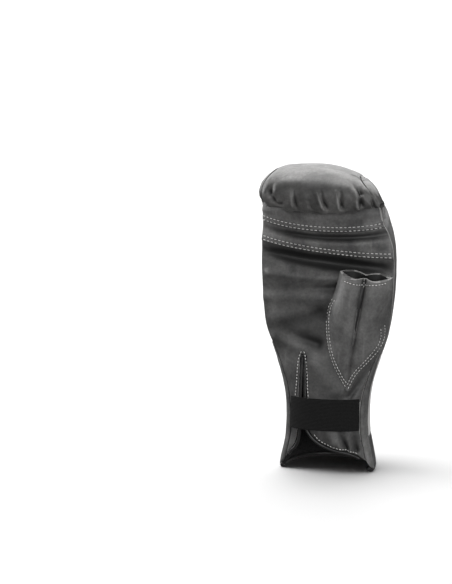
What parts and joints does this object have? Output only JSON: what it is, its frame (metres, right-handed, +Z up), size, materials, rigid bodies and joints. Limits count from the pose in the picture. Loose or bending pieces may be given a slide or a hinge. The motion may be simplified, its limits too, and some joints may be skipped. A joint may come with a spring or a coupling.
{
  "type": "bag glove",
  "caption": "Padded leather bag glove with a hooded fist, open thumb sleeve, slit wrist, elastic strap and flared cuff, standing on its rim.",
  "frame": {"origin": "on the floor, under the middle of the glove's bounding box", "axes": "+Z up along the glove from cuff to fist, -Y out of the palm, +X towards the thumb"},
  "size_m": [0.117, 0.0992, 0.2653],
  "materials": {
    "palm_leather": "worn dark grey leather with a soft sheen",
    "back_leather": "mottled grey leather with lighter worn streaks",
    "white_leather": "smooth white leather, bare",
    "piping": "dark rolled leather piping, slightly glossy",
    "elastic": "black ribbed elastic",
    "lining": "black cloth lining"
  },
  "bodies": {
    "root": {"back_centre_panel": "back_leather", "side_panel_thumb": "back_leather", "side_panel_little_finger": "back_leather", "cuff_band": "white_leather", "cuff_end": "back_leather", "lining": "lining", "gusset_thumb": "palm_leather", "gusset_little_finger": "palm_leather", "palm_panel": "palm_leather", "finger_band_lower": "palm_leather", "finger_band_upper": "palm_leather", "thumb_sleeve": "palm_leather", "wrist_strap": "elastic", "rim_piping": "piping", "slit_piping": "piping"}
  },
  "joints": []
}
